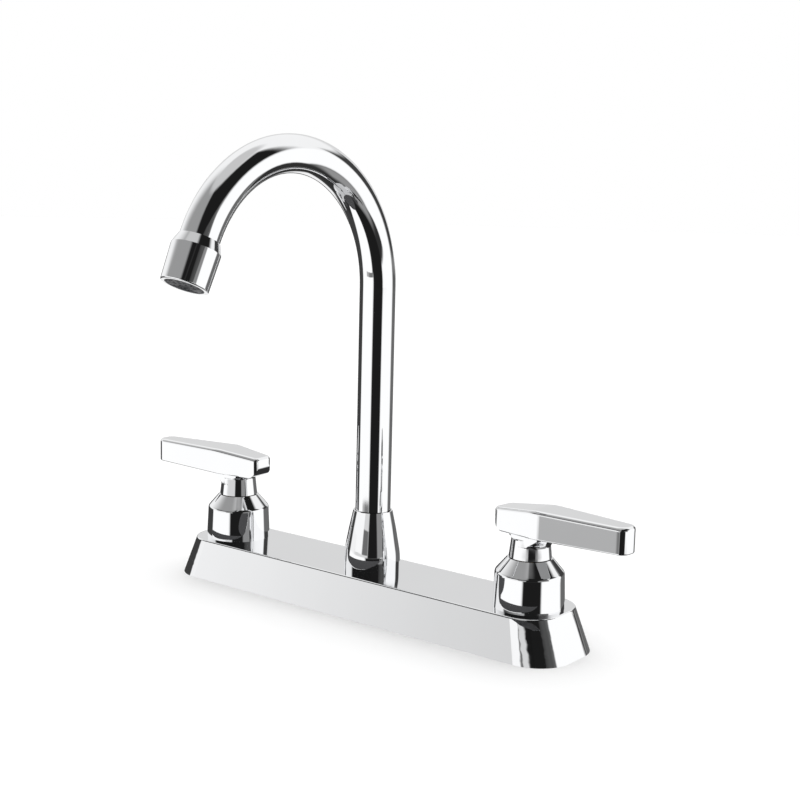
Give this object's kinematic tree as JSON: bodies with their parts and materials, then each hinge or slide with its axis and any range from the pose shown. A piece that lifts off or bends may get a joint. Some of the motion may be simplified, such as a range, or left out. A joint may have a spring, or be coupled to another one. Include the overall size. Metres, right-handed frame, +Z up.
{
  "type": "basin mixer tap",
  "caption": "Deck-mounted basin mixer with a flared plinth, a lever handle at each end and a swivelling gooseneck spout between them.",
  "frame": {"origin": "on the deck plane under the plinth, on the spout's upright axis", "axes": "+X along the row of handles towards the cold one, +Y to the back, +Z up; the spout points to -Y"},
  "size_m": [0.3206, 0.1757, 0.3],
  "materials": {
    "chrome_plate": "polished",
    "brass": "machined",
    "rubber": "matt",
    "ceramic": "lapped",
    "steel": "plated",
    "dark_plastic": "moulded"
  },
  "bodies": {
    "mixer_body": {"base_cover": "chrome_plate", "deck_gasket": "rubber", "spout_hub": "brass", "spout_nut": "chrome_plate", "spout_bearing_washer": "dark_plastic", "deck_washers": "steel", "lock_nuts": "brass", "cold_valve_body": "brass", "hot_valve_body": "brass", "cold_cross_tube": "brass", "hot_cross_tube": "brass", "cold_cartridge_seal": "rubber", "hot_cartridge_seal": "rubber", "cold_fixed_disc": "ceramic", "hot_fixed_disc": "ceramic", "cold_cartridge_body": "brass", "hot_cartridge_body": "brass", "cold_bell_cover": "chrome_plate", "hot_bell_cover": "chrome_plate", "cold_bell_nut": "brass", "hot_bell_nut": "brass"},
    "spout": {"spout_spigot": "brass", "spout_tube": "chrome_plate", "spout_retaining_ring": "steel", "spout_o_rings": "rubber", "nozzle": "chrome_plate", "aerator_washer": "rubber", "aerator_insert": "dark_plastic"},
    "cold_lever": {"cold_handle": "chrome_plate", "cold_set_screw": "steel", "cold_spindle": "brass", "cold_spindle_o_ring": "rubber", "cold_turning_disc": "ceramic"},
    "hot_lever": {"hot_handle": "chrome_plate", "hot_set_screw": "steel", "hot_spindle": "brass", "hot_spindle_o_ring": "rubber", "hot_turning_disc": "ceramic"}
  },
  "joints": [
    {"name": "spout_swivel", "type": "hinge", "parent": "mixer_body", "child": "spout", "pos_m": [0, 0, 0.025], "axis": [0, 0, 1], "continuous": true},
    {"name": "cold_lever_turn", "type": "hinge", "parent": "mixer_body", "child": "cold_lever", "pos_m": [0.1016, 0, 0.04], "axis": [0, 0, -1], "range_deg": [0, 90]},
    {"name": "hot_lever_turn", "type": "hinge", "parent": "mixer_body", "child": "hot_lever", "pos_m": [-0.1016, 0, 0.04], "axis": [0, 0, 1], "range_deg": [0, 90]}
  ]
}
